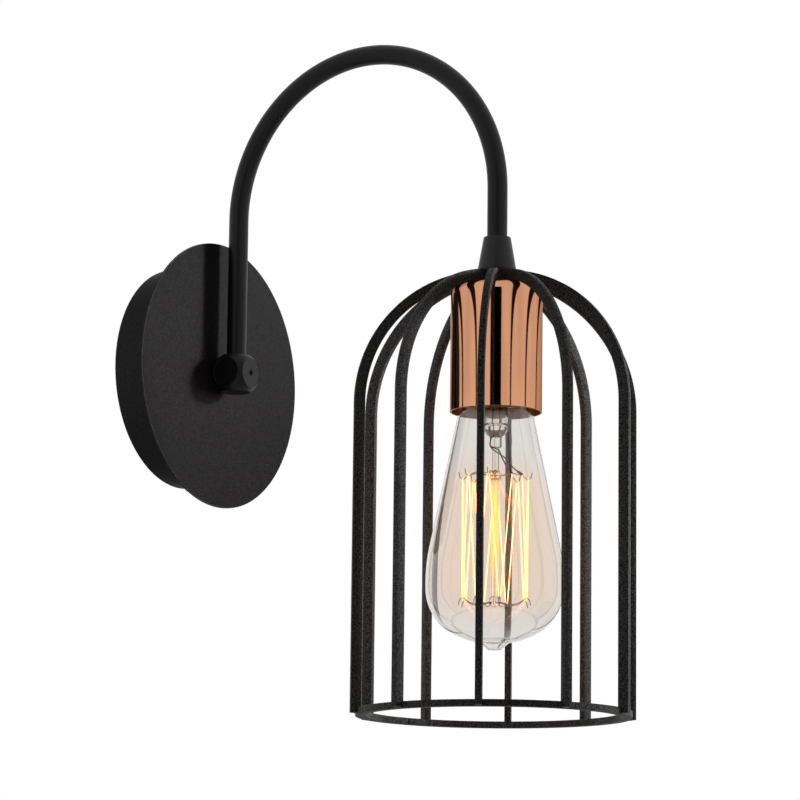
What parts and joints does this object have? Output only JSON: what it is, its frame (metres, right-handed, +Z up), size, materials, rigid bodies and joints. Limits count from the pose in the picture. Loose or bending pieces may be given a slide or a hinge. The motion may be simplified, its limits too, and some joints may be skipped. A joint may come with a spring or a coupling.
{
  "type": "cage wall light",
  "caption": "Wall light: round base, knuckle and tall arched tube arm carrying a hanging rib cage with a copper lampholder cup and a pear-shaped filament bulb.",
  "frame": {"origin": "centre of the round base where its wall bracket meets the wall", "axes": "+Z up, +Y into the wall, so the light stands out towards -Y; X across"},
  "size_m": [0.1322, 0.2477, 0.3272],
  "materials": {
    "satin_black": "satin powder coat",
    "sand_black": "matt sand-textured powder coat",
    "copper": "polished copper plate, brighter and golden inside",
    "zinc_steel": "bright zinc-plated steel",
    "black_steel": "blackened steel",
    "brass": "plain brass",
    "tinned_copper": "tinned copper",
    "white_plastic": "moulded plastic",
    "porcelain": "glazed porcelain",
    "black_vitrite": "black glass insulator",
    "clear_glass": "clear blown glass",
    "hook_wire": "drawn wire",
    "filament": "glowing carbon filament",
    "brown_insulation": "silicone insulation",
    "blue_insulation": "silicone insulation",
    "green_yellow_insulation": "silicone insulation"
  },
  "bodies": {
    "root": {"arm_lock_screw": "black_steel", "arm_tube": "satin_black", "base_locknut": "zinc_steel", "base_nipple": "zinc_steel", "base_pan": "satin_black", "base_washer": "zinc_steel", "cage_hub": "sand_black", "cage_rib_01": "sand_black", "cage_rib_02": "sand_black", "cage_rib_03": "sand_black", "cage_rib_04": "sand_black", "cage_rib_05": "sand_black", "cage_rib_06": "sand_black", "cage_rib_07": "sand_black", "cage_rib_08": "sand_black", "cage_rib_09": "sand_black", "cage_rib_10": "sand_black", "cage_ring": "sand_black", "cone_collar": "satin_black", "cup_shell": "copper", "cup_washer": "zinc_steel", "earth_lug": "tinned_copper", "earth_screw": "brass", "earth_washer": "zinc_steel", "front_disc": "satin_black", "head_locknut": "zinc_steel", "holder_bridge": "zinc_steel", "holder_bridge_screws": "zinc_steel", "knuckle_cube": "satin_black", "lampholder_body": "porcelain", "lampholder_centre_contact": "brass", "lampholder_rivets": "brass", "lampholder_shell": "brass", "lampholder_shell_contact": "brass", "lampholder_terminal_screws": "zinc_steel", "lampholder_terminals": "brass", "skirt_screws": "zinc_steel", "terminal_block": "white_plastic", "terminal_block_screws": "zinc_steel", "terminal_fixing_screw": "zinc_steel", "terminal_sleeves": "brass", "wall_bracket": "zinc_steel", "wire_earth": "green_yellow_insulation", "wire_live": "brown_insulation", "wire_neutral": "blue_insulation"},
    "bulb_carrier": {"bulb_contact": "brass"},
    "bulb": {"bulb_insulator": "black_vitrite", "bulb_cap": "brass", "bulb_glass": "clear_glass", "bulb_stem": "clear_glass", "bulb_lead_wires": "hook_wire", "bulb_supports": "hook_wire", "bulb_filament": "filament"}
  },
  "joints": [
    {"name": "bulb_travel", "type": "slide", "parent": "root", "child": "bulb_carrier", "axis": [0, 0, -1], "range_m": [0, 0.0218]},
    {"name": "bulb_turn", "type": "hinge", "parent": "bulb_carrier", "child": "bulb", "pos_m": [0, -0.181, -0.0235], "axis": [0, 0, -1], "range_deg": [0, 2160]}
  ],
  "couplings": [
    {"joint": "bulb_travel", "follows": "bulb_turn", "m_per_rad": 0.00057757}
  ]
}
